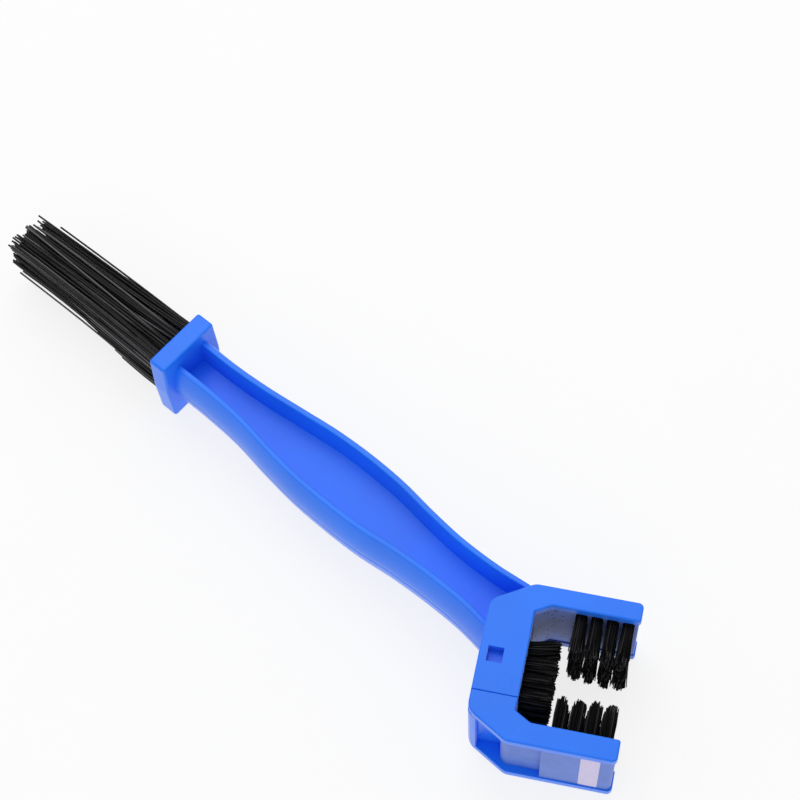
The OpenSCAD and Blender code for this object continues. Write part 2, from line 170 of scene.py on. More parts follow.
def rounded_loop(rows, steps=8):
    """Closed outline from rows of x, y, radius and any weights, which stay with the points."""
    rows = np.asarray(rows, float)
    out = []
    for a, b, c in zip(np.roll(rows, 1, 0), rows, np.roll(rows, -1, 0)):
        if b[2] <= 0:
            out.append(np.r_[b[:2], b[3:]])
            continue
        u, v = unit(a[:2] - b[:2]), unit(c[:2] - b[:2])
        half = math.acos(float(np.clip(u @ v, -1, 1))) / 2
        centre = b[:2] + unit(u + v) * b[2] / math.sin(half)
        start = b[:2] + u * b[2] / math.tan(half) - centre
        side = (b[0] - a[0]) * (c[1] - b[1]) - (b[1] - a[1]) * (c[0] - b[0])
        turn = math.copysign(math.pi - 2 * half, side)
        for i in range(steps + 1):
            co, si = math.cos(turn * i / steps), math.sin(turn * i / steps)
            point = centre + np.array([co * start[0] - si * start[1], si * start[0] + co * start[1]])
            out.append(np.r_[point, b[3:]])
    return np.array(out)


def inset(loop, amount):
    """The loop, counter-clockwise, moved inwards by an amount at each point."""
    leave = unit(np.roll(loop, -1, 0) - loop)
    after = np.stack([-leave[:, 1], leave[:, 0]], 1)
    before = np.roll(after, 1, 0)
    mitre = (before + after) / (1 + (before * after).sum(1, keepdims=True))
    return loop + mitre * np.broadcast_to(amount, len(loop))[:, None]


def edge_rounding(radius, steps=5):
    """Pairs of inset and depth that round an edge, from the flat face outwards."""
    return [(radius * (1 - math.sin(t)), radius * (1 - math.cos(t)))
            for t in np.linspace(0, math.pi / 2, steps + 1)]


class Shape:
    """Points and faces of a piece in the making, with a finish number for each face."""

    def __init__(self):
        self.points, self.faces, self.finishes = [], [], []
        self.total = 0

    def add(self, points, faces, finish=0):
        points = np.asarray(points, float).reshape(-1, 3)
        self.points.append(points)
        self.faces += [tuple(int(i) + self.total for i in f) for f in faces]
        self.finishes += [finish] * len(faces)
        self.total += len(points)

    def skin(self, rings, finish=0, closed=True):
        """Quads over rings with equal counts of points, with both ends filled if closed."""
        rings = np.asarray(rings, float)
        n, m = rings.shape[:2]
        faces = [(k * m + i, k * m + (i + 1) % m, (k + 1) * m + (i + 1) % m, (k + 1) * m + i)
                 for k in range(n - 1) for i in range(m)]
        if closed:
            for k in (0, n - 1):
                flat = tessellate_polygon([[Vector(p) for p in rings[k]]])
                faces += [tuple(i + k * m for i in tri) for tri in flat]
        self.add(rings, faces, finish)


def new_object(name, data):
    made = bpy.data.objects.new(name, data)
    bpy.context.scene.collection.objects.link(made)
    return made


def discard(pieces):
    for piece in pieces:
        mesh = piece.data
        bpy.data.objects.remove(piece)
        bpy.data.meshes.remove(mesh)


def build_mesh(name, shape, place=None):
    """A mesh object from a shape in millimetres, with its normals outwards."""
    points = np.concatenate(shape.points)
    if place is not None:
        points = place(points)
    mesh = bpy.data.meshes.new(name)
    mesh.from_pydata((points / 1000).tolist(), [], shape.faces)
    mesh.polygons.foreach_set("material_index", shape.finishes)
    work = bmesh.new()
    work.from_mesh(mesh)
    bmesh.ops.remove_doubles(work, verts=work.verts, dist=1e-7)
    bmesh.ops.dissolve_degenerate(work, dist=1e-7, edges=work.edges)
    bmesh.ops.recalc_face_normals(work, faces=work.faces)
    work.to_mesh(mesh)
    work.free()
    return new_object(name, mesh)


def skinned(name, rings, place=None):
    shape = Shape()
    shape.skin(rings)
    return build_mesh(name, shape, place)


def cut(piece, cutters):
    """Takes the cutters out of the piece for good."""
    for cutter in cutters:
        step = piece.modifiers.new("cut", "BOOLEAN")
        step.operation = "DIFFERENCE"
        step.solver = "EXACT"
        step.object = cutter
    graph = bpy.context.evaluated_depsgraph_get()
    done = bpy.data.meshes.new_from_object(piece.evaluated_get(graph))
    old = piece.data
    piece.modifiers.clear()
    piece.data = done
    bpy.data.meshes.remove(old)
    discard(cutters)


def join(first, *others):
    """The meshes of several objects as one object, with the first one's materials."""
    work = bmesh.new()
    for piece in (first, *others):
        work.from_mesh(piece.data)
    work.to_mesh(first.data)
    work.free()
    discard(others)
    return first


def finish_piece(piece, body, slot_name, materials, *nodes, sharp=38):
    """Smooth shading with crisp edges, materials, and the piece's place in the frame."""
    mesh = piece.data
    mesh.shade_smooth()
    mesh.set_sharp_from_angle(angle=math.radians(sharp))
    numbers = [face.material_index for face in mesh.polygons]
    mesh.materials.clear()
    for material in materials:
        mesh.materials.append(material)
    mesh.polygons.foreach_set("material_index", numbers)
    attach(piece, body)
    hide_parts(*nodes)


def keep_flats_flat(piece):
    """Lets the wide faces set the shading, so that a rounded edge doesn't cloud them."""
    weigh = piece.modifiers.new("flats", "WEIGHTED_NORMAL")
    weigh.keep_sharp = True
    weigh.weight = 60


# Places in the frame

# Sideways place of the handle's middle in the frame, in millimetres
MIDDLE_Y = 5.09263


def handle_place(points):
    """From the handle's own axes, at the collar's inner face, to the frame's."""
    handle = millimetres("handle")
    bristle = millimetres("bristle")
    x = CAD_BOX[0][0] * 1000 + handle.collar_thickness + bristle.end_length
    return np.asarray(points, float) + [x, MIDDLE_Y, CAD_BOX[1][2] * 500]


def head_place(points):
    """From the head's own axes, at the middle of its back face, to the frame's."""
    points = np.asarray(points, float)
    handle = scene_settings("handle")
    co, si = math.cos(handle.angle), math.sin(handle.angle)
    x, y, z = points[..., 0], points[..., 1], points[..., 2]
    turned = np.stack([handle.length * 1000 + co * x - si * y,
                       si * x + co * y - handle.side * 1000, z], -1)
    return handle_place(turned)


def move_to_head(piece):
    """Moves a mesh that was made in the head's own axes to its place in the frame."""
    coordinates = np.empty(len(piece.data.vertices) * 3)
    piece.data.vertices.foreach_get("co", coordinates)
    moved = head_place(coordinates.reshape(-1, 3) * 1000) / 1000
    piece.data.vertices.foreach_set("co", moved.ravel())


# Materials

def new_material(name, roughness=0.5, specular=0.5):
    material = bpy.data.materials.new(name)
    material.use_nodes = True
    tree = material.node_tree
    shader = next(n for n in tree.nodes if n.type == "BSDF_PRINCIPLED")
    shader.inputs["Roughness"].default_value = roughness
    shader.inputs["Specular IOR Level"].default_value = specular
    return material, tree, shader


def add_noise(tree, scale, detail=3.0, roughness=0.5):
    where = tree.nodes.new("ShaderNodeTexCoord")
    noise = tree.nodes.new("ShaderNodeTexNoise")
    noise.inputs["Scale"].default_value = scale
    noise.inputs["Detail"].default_value = detail
    noise.inputs["Roughness"].default_value = roughness
    tree.links.new(where.outputs["Object"], noise.inputs["Vector"])
    return noise


def add_ramp(tree, value, stops):
    ramp = tree.nodes.new("ShaderNodeValToRGB")
    while len(ramp.color_ramp.elements) < len(stops):
        ramp.color_ramp.elements.new(0.5)
    for element, (position, rgb) in zip(ramp.color_ramp.elements, stops):
        element.position = position
        element.color = (*rgb, 1)
    tree.links.new(value, ramp.inputs["Fac"])
    return ramp


def add_bump(tree, shader, height, strength, distance):
    bump = tree.nodes.new("ShaderNodeBump")
    bump.inputs["Strength"].default_value = strength
    bump.inputs["Distance"].default_value = distance
    tree.links.new(height, bump.inputs["Height"])
    tree.links.new(bump.outputs["Normal"], shader.inputs["Normal"])
    return bump


def tone(base, factor):
    return tuple(min(1.0, c * factor) for c in base)


def cloud_colour(tree, socket, base, noise, low, high):
    """Leads a ramp over a noise to the socket; low and high are a place and a factor of the base."""
    stops = [(place, tone(base, factor)) for place, factor in (low, high)]
    ramp = add_ramp(tree, noise.outputs["Fac"], stops)
    tree.links.new(ramp.outputs["Color"], socket)


def vary_roughness(tree, shader, noise, low, high):
    rough = tree.nodes.new("ShaderNodeMapRange")
    rough.inputs["To Min"].default_value = low
    rough.inputs["To Max"].default_value = high
    tree.links.new(noise.outputs["Fac"], rough.inputs["Value"])
    tree.links.new(rough.outputs["Result"], shader.inputs["Roughness"])


def moulded_plastic():
    """Glossy blue plastic, a little cloudy in colour, with a faint moulded skin."""
    finish = scene_settings("finish")
    material, tree, shader = new_material("moulded_blue_plastic", specular=0.33)
    cloud = add_noise(tree, 38, 4, 0.55)
    cloud_colour(tree, shader.inputs["Base Color"], finish.plastic, cloud, (0.30, 0.93), (0.70, 1.06))
    fine = add_noise(tree, 700, 2, 0.5)
    rough = finish.plastic_roughness
    vary_roughness(tree, shader, cloud, rough - 0.05, rough + 0.06)
    shader.inputs["Sheen Weight"].default_value = 0.30
    shader.inputs["Sheen Roughness"].default_value = 0.28
    add_bump(tree, shader, fine.outputs["Fac"], 0.05, 0.0002)
    return material


def painted_haze_plastic():
    """Outer wall of the clip-on jaw, duller than the rest, greyed as a painted reflected haze, and finely
    mottled.
    """
    finish = scene_settings("finish")
    material, tree, shader = new_material("painted_haze_jaw_plastic", 0.48, 0.4)
    # Painted reflected haze: the blue is mixed about half and half with a grey, so the wall reads greyer, in
    # place of light glancing off it.
    haze_grey, share_of_haze = (0.17, 0.19, 0.29), 0.52
    base = tuple((1 - share_of_haze) * a + share_of_haze * b for a, b in zip(finish.plastic, haze_grey))
    mottle = add_noise(tree, 240, 4, 0.6)
    cloud_colour(tree, shader.inputs["Base Color"], base, mottle, (0.30, 0.90), (0.70, 1.12))
    add_bump(tree, shader, mottle.outputs["Fac"], 0.08, 0.0002)
    return material


def pad_plastic():
    """Plastic round the tufts, made dusty by trimming and dotted with dark crumbs."""
    finish = scene_settings("finish")
    material, tree, shader = new_material("dusty_pad_plastic", 0.55)
    crumbs = tree.nodes.new("ShaderNodeTexVoronoi")
    crumbs.inputs["Scale"].default_value = 520
    place = tree.nodes.new("ShaderNodeTexCoord")
    tree.links.new(place.outputs["Object"], crumbs.inputs["Vector"])
    dots = add_ramp(tree, crumbs.outputs["Distance"], [(0.21, (0.95, 0.95, 0.95)), (0.25, (0, 0, 0))])
    mix = tree.nodes.new("ShaderNodeMix")
    mix.data_type = "RGBA"
    tree.links.new(dots.outputs["Color"], mix.inputs["Factor"])
    cloud = add_noise(tree, 160, 4, 0.6)
    cloud_colour(tree, mix.inputs["A"], finish.pad_wall, cloud, (0.30, 0.82), (0.72, 1.22))
    mix.inputs["B"].default_value = (0.020, 0.022, 0.05, 1)
    tree.links.new(mix.outputs["Result"], shader.inputs["Base Color"])
    add_bump(tree, shader, dots.outputs["Color"], 0.3, 0.0001)
    return material


def bristle_nylon():
    """Long filaments of the end brush."""
    # Filaments up to 34 times the base are painted highlight lines.
    return nylon("black_bristle_nylon", 0.26, 0.16, 34)


def worn_bristle_nylon():
    """Short filaments of the head, rubbed dull by the chain."""
    # Filaments up to 12 times the base are painted highlight lines.
    return nylon("worn_bristle_nylon", 0.07, 0.50, 12)


def nylon(name, gloss, smooth, painted_highlight):
    """Black filaments whose shade varies a little from one to the next; about a third of them are painted
    paler, up to a given factor times the base, as painted highlight lines.
    """
    material, tree, shader = new_material(name, specular=gloss)
    base = scene_settings("finish").bristle
    each = tree.nodes.new("ShaderNodeNewGeometry")
    # The stops past 0.66 paint highlights into about a third of the filaments. The lower stops vary their
    # black at random.
    ramp = add_ramp(tree, each.outputs["Random Per Island"],
                    [(0.0, tone(base, 0.4)), (0.66, tone(base, 1.2)), (0.74, tone(base, 7)),
                     (1.0, tone(base, painted_highlight))])
    tree.links.new(ramp.outputs["Color"], shader.inputs["Base Color"])
    vary_roughness(tree, shader, add_noise(tree, 420, 3, 0.6), smooth, smooth + 0.4)
    return material


def label_paper():
    """Blank film label with a faint fibre."""
    material, tree, shader = new_material("blank_label_film", 0.42)
    base = scene_settings("finish").label
    fibre = add_noise(tree, 900, 3, 0.6)
    cloud_colour(tree, shader.inputs["Base Color"], base, fibre, (0.3, 0.93), (0.7, 1.05))
    add_bump(tree, shader, fibre.outputs["Fac"], 0.08, 0.0001)
    return material


def anchor_wire():
    """Rolled wire with drawn streaks."""
    material, tree, shader = new_material("rolled_anchor_wire", 0.38)
    streak = add_noise(tree, 1500, 2, 0.5)
    ramp = add_ramp(tree, streak.outputs["Fac"], [(0.3, (0.40, 0.41, 0.43)), (0.7, (0.62, 0.63, 0.65))])
    tree.links.new(ramp.outputs["Color"], shader.inputs["Base Color"])
    shader.inputs["Metallic"].default_value = 1
    return material


def made_once(maker):
    """The material of that maker, made the first time it is asked for."""
    cache = bpy.context.scene.get("chain_brush_materials")
    names = dict(cache) if cache else {}
    if maker.__name__ not in names:
        names[maker.__name__] = maker().name
        bpy.context.scene["chain_brush_materials"] = names
    return bpy.data.materials[names[maker.__name__]]


# Head

CORNER = 4.5        # rounding of the head's outer corners
TIP = 1.6           # rounding of the jaw tips
CHAMFER = (12.7, 7.55)
INNER_CHAMFER = (5.0, 2.8)
GROOVE = 0.07       # depth of the parting line
TONGUE_X = 2.5      # from the head's back face to the tongue
WINDOW_Y = 0.47     # middle of the latch windows
PLAY = 0.3          # clearance round the tongue and the finger
FINGER = 2.0        # thickness of the latch finger
FLEX = 2.8          # room that the finger bends into
ROOT = 2.8          # length of the finger behind the joint line
BARB = 2.6          # height of the barb on the finger


def box_cutter(name, low, high):
    loop = np.array([(low[0], low[1]), (high[0], low[1]), (high[0], high[1]), (low[0], high[1])])
    return skinned(name, [np.c_[loop, np.full(4, z)] for z in (low[2], high[2])])


def fixed_plan(h):
    """Outer plan of the back and the fixed jaw: x, y, radius, edge, set-back and groove weights."""
    half, inner = h.width / 2, h.width / 2 - h.fixed_jaw
    return [
        (0, -h.seam, 0, 0.4, 0, 0), (h.back, -h.seam, 0, 0.4, 0, 0),
        (h.back, inner - INNER_CHAMFER[1], 0.5, 1, 0, 0),
        (h.back + INNER_CHAMFER[0], inner, TIP, 1, 1, 0),
        (h.reach, inner, TIP / 2, 1, 1, 0), (h.reach, half, TIP, 1, 1, 1),
        (CHAMFER[0] + CORNER + 0.4, half, 0, 1, 1, 1),
        (CHAMFER[0] + CORNER + 0.1, half, 0, 1, 0, 1),
        (CHAMFER[0], half, CORNER, 1, 0, 1), (0, half - CHAMFER[1], CORNER, 1, 0, 1),
        (0, half - CHAMFER[1] - CORNER, 0, 1, 0, 1), (0, -h.seam + 0.3, 0, 1, 0, 1)]


def clip_plan(h):
    """Outer plan of the clip-on jaw, with the same columns."""
    half, inner = h.width / 2, h.width / 2 - h.clip_jaw
    seam = -h.seam - h.seam_gap
    return [
        (0, seam, 0, 0.4, 0, 0), (0, seam - 0.3, 0, 1, 0, 0),
        (0, CHAMFER[1] - half, CORNER, 1, 1, 0), (CHAMFER[0], -half, CORNER, 1, 1, 0),
        (h.reach, -half, TIP, 1, 1, 0), (h.reach, -inner, TIP / 2, 1, 1, 0),
        (h.back + INNER_CHAMFER[0], -inner, TIP, 1, 1, 0),
        (h.back, INNER_CHAMFER[1] - inner, 0.5, 1, 0, 0), (h.back, seam, 0, 0.4, 0, 0)]


def clip_core_plan(h):
    """Plan of the clip-on jaw between its plates, with the open corner pocket left out."""
    half, inner = h.width / 2, h.width / 2 - h.clip_jaw
    seam = -h.seam - h.seam_gap
    wall, floor, step_x, step, solid = 2.9, 8.5, 10.6, 2.45, 23.3
    chamfer_at_wall = half - CHAMFER[1] * (1 - wall / CHAMFER[0])
    return [
        (0, seam, 0), (0, CHAMFER[1] - half, wall), (wall, -chamfer_at_wall, 0.25),
        (wall, floor - half, 0.6), (step_x, floor - half, 0.8), (step_x, step - half, 3.0),
        (solid, step - half, 0.3), (solid, h.recess - half, 0.25),
        (h.reach - h.recess, h.recess - half, TIP), (h.reach - h.recess, -inner - h.recess, 0.4),
        (h.back + INNER_CHAMFER[0], -inner - h.recess, 0.4), (h.back, INNER_CHAMFER[1] - inner, 0),
        (h.back, seam, 0)]


def stacked(rows, levels, steps=10):
    """Rings of an outline at several heights; a level is z, then its edge, set-back and groove insets."""
    loop = rounded_loop(rows, steps)
    plan, weights = loop[:, :2], loop[:, 2:]
    return [np.c_[inset(plan, weights @ np.array(level[1:])), np.full(len(plan), level[0])]
            for level in levels]


def plate_side(h, top, underside=True):
    """Levels down one plate from its face, then its set-back underside."""
    levels = [(top - down, in_by, 0, 0) for in_by, down in edge_rounding(h.edge)]
    if underside:
        low, fillet, bend = top - h.plate, 0.18, 0.05
        levels += [(low + fillet, 0, 0, 0), (low + bend, 0, bend, 0), (low, 0, fillet, 0)]
    return levels


# Ejector pins of the head and of the web: x, y and radius
HEAD_RING = (9.0, -7.2, 2.2)
WEB_RINGS = ((16, 0, 1.6), (66, 0, 2.6), (118, 0, 2.2))


def witness_ring(shape, x, y, z, radius, up=1, width=0.16, height=0.035, steps=40):
    """Faint raised ring that an ejector pin leaves on a flat face."""
    turn = np.linspace(0, 2 * math.pi, steps, endpoint=False)
    sunk, side = -0.03, height / 2
    profile = [(-width, sunk), (-width, side), (0, height), (width, side), (width, sunk)]
    rings = [np.stack([x + (radius + dr) * np.cos(turn), y + (radius + dr) * np.sin(turn),
                       np.full(steps, z + up * dz)], 1) for dr, dz in profile]
    shape.skin(rings, closed=False)


PAD_RIM = 0.6       # clean rim of the dulled walls at the jaw tips
NEAR = 0.2          # how near a face lies to the wall that it belongs to
HAZE_START = 11    # where the painted haze on the clip-on jaw's outer faces begins
HAZE_DEPTH = 4.2   # how far it reaches in from the outermost face


def mark_faces(piece, finish, test):
    """Gives a finish number to the faces whose middle passes the test, in millimetres."""
    for face in piece.data.polygons:
        if test(*(c * 1000 for c in face.center), face.normal):
            face.material_index = finish


class OBJECT_OT_chain_brush_handle(bpy.types.Operator):
    """Make the handle moulding: handle, collar, back of the head and fixed jaw"""
    bl_idname = "object.chain_brush_handle"
    bl_label = "Handle moulding"

    def execute(self, context):
        h = millimetres("head")
        half_t = h.thickness / 2
        upper = plate_side(h, half_t)
        low = half_t - h.plate
        groove_top, groove_floor = 0.14, 0.05
        wall = [(low - 0.01, 0, h.recess, 0), (groove_top, 0, h.recess, 0),
                (groove_floor, 0, h.recess, GROOVE)]
        levels = upper + wall
        levels += [(-level[0], *level[1:]) for level in reversed(levels)]
        head = skinned("handle_moulding_head", stacked(fixed_plan(h), levels))
        far_x, tip = TONGUE_X + h.tongue_width, h.tongue_length - h.seam
        channel = box_cutter("channel", (TONGUE_X - PLAY, -h.seam - 1, -low), (far_x + PLAY, tip + PLAY, low))
        window = box_cutter("window", (TONGUE_X, WINDOW_Y - h.window / 2, -half_t - 1),
                            (far_x, WINDOW_Y + h.window / 2, half_t + 1))
        cut(head, [channel, window])
        rings = Shape()
        for up in (1, -1):
            witness_ring(rings, *HEAD_RING[:2], up * half_t, HEAD_RING[2], up)
        head = join(head, build_mesh("rings", rings))
        inner = h.width / 2 - h.fixed_jaw
        mark_faces(head, 1, lambda x, y, z, n: 0.1 - half_t < z < low and x < h.reach - PAD_RIM and
                   ((x > h.back - NEAR and y < inner + h.recess + NEAR and (n.y < -0.3 or n.z > 0.5))
                    or (abs(x - h.back) < NEAR and n.x > 0.3)))
        move_to_head(head)
        keep_flats_flat(head)
        bar = handle_bar()
        collar = collar_block()
        finish = [made_once(moulded_plastic), made_once(pad_plastic)]
        for piece in (head, bar, collar):
            finish_piece(piece, "handle", "blue_plastic", finish, "handle_moulding")
        keep_flats_flat(collar)
        return {"FINISHED"}


# Handle

FAR_SHARES = [0.63, 0.62, 0.69, 0.82, 0.95, 0.99, 0.94, 0.79, 0.69, 0.71, 0.83]
NEAR_SHARES = [0.58, 0.59, 0.66, 0.84, 0.98, 1.02, 0.99, 0.86, 0.80, 0.82, 0.96]


def smooth_table(table, s):
    """A smooth value from an even table, at s from 0 to 1."""
    last = len(table) - 1
    i = min(int(s * last), last - 1)
    u = s * last - i
    a, b, c, d = table[max(i - 1, 0)], table[i], table[i + 1], table[min(i + 2, last)]
    return (2 * b + (c - a) * u + (2 * a - 5 * b + 4 * c - d) * u * u
            + (3 * b - a - 3 * c + d) * u ** 3) / 2


def handle_section(s, g):
    """Outline of the H-section across the handle and through its depth, as rows."""
    half = g.width / 2
    far, near = smooth_table(FAR_SHARES, s) * half, smooth_table(NEAR_SHARES, s) * half
    depth = (g.depth_collar + (g.depth_head - g.depth_collar) * s) / 2
    far_bulge = g.bulge * (1 - 0.95 * s ** 6)
    web, thick, deep = g.web / 2, g.flange, g.flange + g.draft
    edge, fillet = 0.4, 0.35
    steps = [0.96, 0.85, 0.7, 0.5, 0.3, 0.14]
    groove = [(0.020, 0.0), (0.007, GROOVE), (-0.007, GROOVE), (-0.020, 0.0)]
    far_side = [(-u, 0) for u in steps] + [(-u, d) for u, d in groove] + [(u, 0) for u in reversed(steps)]
    rows = [(far, -depth, edge)]
    rows += [(far + far_bulge * (1 - u * u) - d, depth * u, 0) for u, d in far_side]
    rows += [(far, depth, edge), (far - thick, depth, edge), (far - deep, web, fillet),
             (deep - near, web, fillet), (thick - near, depth, edge), (-near, depth, edge)]
    rows += [(-near - g.bulge * (1 - u * u) + d, depth * u, 0) for u, d in
             [(-u, d) for u, d in far_side]]
    rows += [(-near, -depth, edge), (thick - near, -depth, edge), (deep - near, -web, fillet),
             (far - deep, -web, fillet), (far - thick, -depth, edge)]
    return rows


def handle_bar():
    """The H-section handle, from inside the collar to inside the head."""
    g = millimetres("handle")
    h = millimetres("head")
    angle = scene_settings("handle").angle
    end = g.length + CHAMFER[0] * math.cos(angle) - h.width / 2 * math.sin(angle)
    shape = Shape()
    rings = []
    inside, stations = 2, 110
    for x in np.linspace(-inside, end + inside, stations):
        s = min(max(x / end, 0), 1)
        loop = rounded_loop(handle_section(s, g), 4)
        rings.append(np.c_[np.full(len(loop), x), loop])
    shape.skin(rings)
    web = g.web / 2
    for up in (1, -1):
        for x, y, radius in WEB_RINGS:
            witness_ring(shape, x, y, up * web, radius, up)
    return build_mesh("handle_moulding_bar", shape, handle_place)


def collar_block():
    """Collar with rounded edges, ends that swell to their middle, and faint humps over the tufts."""
    g = millimetres("handle")
    half_w, half_d, swell, corner = g.collar_width / 2, g.collar_depth / 2, 0.6, 1.1
    ridge, hump, hump_width = 0.3, 0.10, (1.25, 2.0)
    flat_half = half_w - corner - 0.5
    side = np.linspace(-flat_half, flat_half, 29)
    rows = [(-half_w, -half_d, corner), *((y, -half_d, 0) for y in side), (half_w, -half_d, corner),
            (half_w + swell, 0, ridge), (half_w, half_d, corner),
            *((y, half_d, 0) for y in reversed(side)),
            (-half_w, half_d, corner), (-half_w - swell, 0, ridge)]
    loop = rounded_loop(rows, 5)
    round_by = edge_rounding(0.7)
    stations = [(-down, in_by) for in_by, down in round_by]
    stations += [(x, 0) for x in np.linspace(-corner - 0.1, corner + 0.1 - g.collar_thickness, 7)]
    stations += [(down - g.collar_thickness, in_by) for in_by, down in reversed(round_by)]
    rings = []
    for x, in_by in stations:
        ring = inset(loop, in_by)
        humps = sum(np.exp(-((ring[:, 0] - place) / hump_width[0]) ** 2)
                    for place in rows_of(END_PITCH[0], COLUMNS))
        level = np.exp(-((x + g.collar_thickness / 2) / hump_width[1]) ** 2)
        flat = np.abs(np.abs(ring[:, 1]) - half_d) < NEAR
        ring[:, 1] -= np.sign(ring[:, 1]) * flat * hump * (1 - humps * level)
        rings.append(np.c_[np.full(len(ring), x), ring])
    return skinned("handle_moulding_collar", rings, handle_place)


class OBJECT_OT_chain_brush_clip_jaw(bpy.types.Operator):
    """Make the clip-on jaw with its plates, pocket and tongue"""
    bl_idname = "object.chain_brush_clip_jaw"
    bl_label = "Clip-on jaw"

    def execute(self, context):
        h = millimetres("head")
        half_t = h.thickness / 2
        low = half_t - h.plate
        shape = Shape()
        for up in (1, -1):
            levels = plate_side(h, half_t) + [(low - 0.002, 0, 0.5, 0)]
            shape.skin(stacked(clip_plan(h), [(up * level[0], *level[1:]) for level in levels]))
        plates = build_mesh("clip_jaw_plates", shape)
        loop = rounded_loop(clip_core_plan(h), 10)
        core = skinned("clip_jaw_core", [np.c_[loop, np.full(len(loop), z)] for z in (low, -low)])
        tongue_low = PLAY - low + FINGER + FLEX
        far_x, tip = TONGUE_X + h.tongue_width, h.tongue_length - h.seam
        pocket = box_cutter("pocket", (TONGUE_X - PLAY, -h.seam - h.seam_gap - ROOT, -low - 1),
                            (far_x + PLAY, 1 - h.seam, tongue_low))
        cut(core, [pocket])
        start = -h.seam - 2
        plan = [(TONGUE_X, start, 0, 1), (far_x, start, 0, 1), (far_x, tip, 0.5, 1), (TONGUE_X, tip, 0.5, 1)]
        round_by = edge_rounding(0.25, 3)
        levels = [(low - PLAY - down, in_by) for in_by, down in round_by]
        levels += [(tongue_low + down, in_by) for in_by, down in reversed(round_by)]
        tongue = skinned("clip_jaw_tongue", stacked(plan, levels, 4))
        inner = h.width / 2 - h.clip_jaw
        jaw = join(plates, core, tongue)
        mark_faces(jaw, 1, lambda x, y, z, n: abs(z) < low and x < h.reach - PAD_RIM and
                   x > h.back + INNER_CHAMFER[0] and abs(y + inner + h.recess) < NEAR and n.y > 0.3)
        # Painted reflected haze on the clip-on jaw's outer faces that look towards -y: the outer wall and the
        # stepped wall beside the pocket.
        mark_faces(jaw, 2, lambda x, y, z, n: abs(z) < low and x > HAZE_START and n.y < -0.2 and
                   y < HAZE_DEPTH - h.width / 2)
        move_to_head(jaw)
        keep_flats_flat(jaw)
        finish_piece(jaw, "clip_jaw", "blue_plastic",
                     [made_once(moulded_plastic), made_once(pad_plastic),
                      made_once(painted_haze_plastic)], "clip_jaw")
        return {"FINISHED"}


class OBJECT_OT_chain_brush_latch(bpy.types.Operator):
    """Make the latch finger with its barb"""
    bl_idname = "object.chain_brush_latch"
    bl_label = "Latch finger"

    def execute(self, context):
        h = millimetres("head")
        low = PLAY - (h.thickness / 2 - h.plate)
        back = -h.seam - h.seam_gap - ROOT
        tip = h.tongue_length - h.seam
        start = WINDOW_Y - h.window / 2 + PLAY
        rows = [(low + FINGER, back, 0), (low + FINGER, tip, 0.4), (low, tip, 0.4),
                (low - BARB, start + PLAY, 0.25), (low - BARB, start, 0), (low, start, 0.2), (low, back, 0)]
        loop = rounded_loop(rows, 4)
        round_by = edge_rounding(0.15, 3)
        stations = [(TONGUE_X + down, in_by) for in_by, down in round_by]
        stations += [(TONGUE_X + h.tongue_width - down, in_by) for in_by, down in reversed(round_by)]
        rings = []
        for x, in_by in stations:
            ring = inset(loop, in_by)
            rings.append(np.stack([np.full(len(ring), x), ring[:, 1], ring[:, 0]], 1))
        finger = skinned("latch_finger_moulded", rings, head_place)
        finish_piece(finger, "clip_jaw", "blue_plastic", [made_once(moulded_plastic)], "latch_finger")
        keep_flats_flat(finger)
        return {"FINISHED"}


class OBJECT_OT_chain_brush_label(bpy.types.Operator):
    """Make the blank label on the clip-on jaw"""
    bl_idname = "object.chain_brush_label"
    bl_label = "Blank label"

    def execute(self, context):
        h = millimetres("head")
        wall = h.recess - h.width / 2
        near_x, far_x, half, corner = 35.1, 40.9, 12.5, 0.7
        loop = rounded_loop([(near_x, -half, corner), (far_x, -half, corner),
                             (far_x, half, corner), (near_x, half, corner)], 5)
        rings = []
        film = ((-0.05, 0), (0.10, 0), (0.14, 0.06))
        for out, in_by in film:
            ring = inset(loop, in_by)
            rings.append(np.stack([ring[:, 0], np.full(len(ring), wall - out), ring[:, 1]], 1))
        label = skinned("blank_label_film", rings, head_place)
        finish_piece(label, "clip_jaw", "label", [made_once(label_paper)], "blank_label")
        return {"FINISHED"}


# Bristles

JAW_PITCH = 4.75            # between the columns of a jaw's tufts
BACK_PITCH = 5.0
ROW_PITCH = 5.5             # between the rows of tufts in the head
END_PITCH = (4.7, 4.9)      # between the columns and between the rows of the end brush
FIXED_X, CLIP_X = 27.85, 27.0   # first column of each jaw
BACK_MIDDLE = -1.0          # of the back's columns, sideways from the head's middle
SUNK = 0.4                  # how far a filament starts inside its hole
STRAY_BOW = 0.25
COLUMNS = 4                 # of tufts in each pad and in the end brush


def packed_places(number, radius, rng):
    """Places of filaments in a round hole, packed evenly and a little shuffled."""
    turn = math.pi * (3 - math.sqrt(5))
    i = np.arange(number) + 0.5
    r = radius * np.sqrt(i / number)
    places = np.stack([r * np.cos(i * turn), r * np.sin(i * turn)], 1)
    return places + rng.normal(0, radius * 0.035, places.shape)


def filaments(shape, paths, radius, rng, sides=5, taper=0.92):
    """Thin straight-sided filaments along paths of shape (count, rings, 3)."""
    number, rings = paths.shape[:2]
    start = rng.uniform(0, 2 * math.pi, number)
    turn = start[:, None] + np.arange(sides) * 2 * math.pi / sides
    along = unit(paths[:, -1] - paths[:, 0])
    across = unit(np.cross(along, [0.31, 0.77, 0.55]))
    upward = np.cross(along, across)
    ring = across[:, None] * np.cos(turn)[..., None] + upward[:, None] * np.sin(turn)[..., None]
    width = radius * np.linspace(1, taper, rings)
    points = paths[:, :, None] + ring[:, None] * width[None, :, None, None]
    side = [(k * sides + i, k * sides + (i + 1) % sides, (k + 1) * sides + (i + 1) % sides,
             (k + 1) * sides + i) for k in range(rings - 1) for i in range(sides)]
    tip = tuple((rings - 1) * sides + i for i in range(sides))
    base = tuple(reversed(range(sides)))
    one = [*side, tip, base]
    faces = [tuple(v + f * rings * sides for v in face) for f in range(number) for face in one]
    shape.add(points, faces)


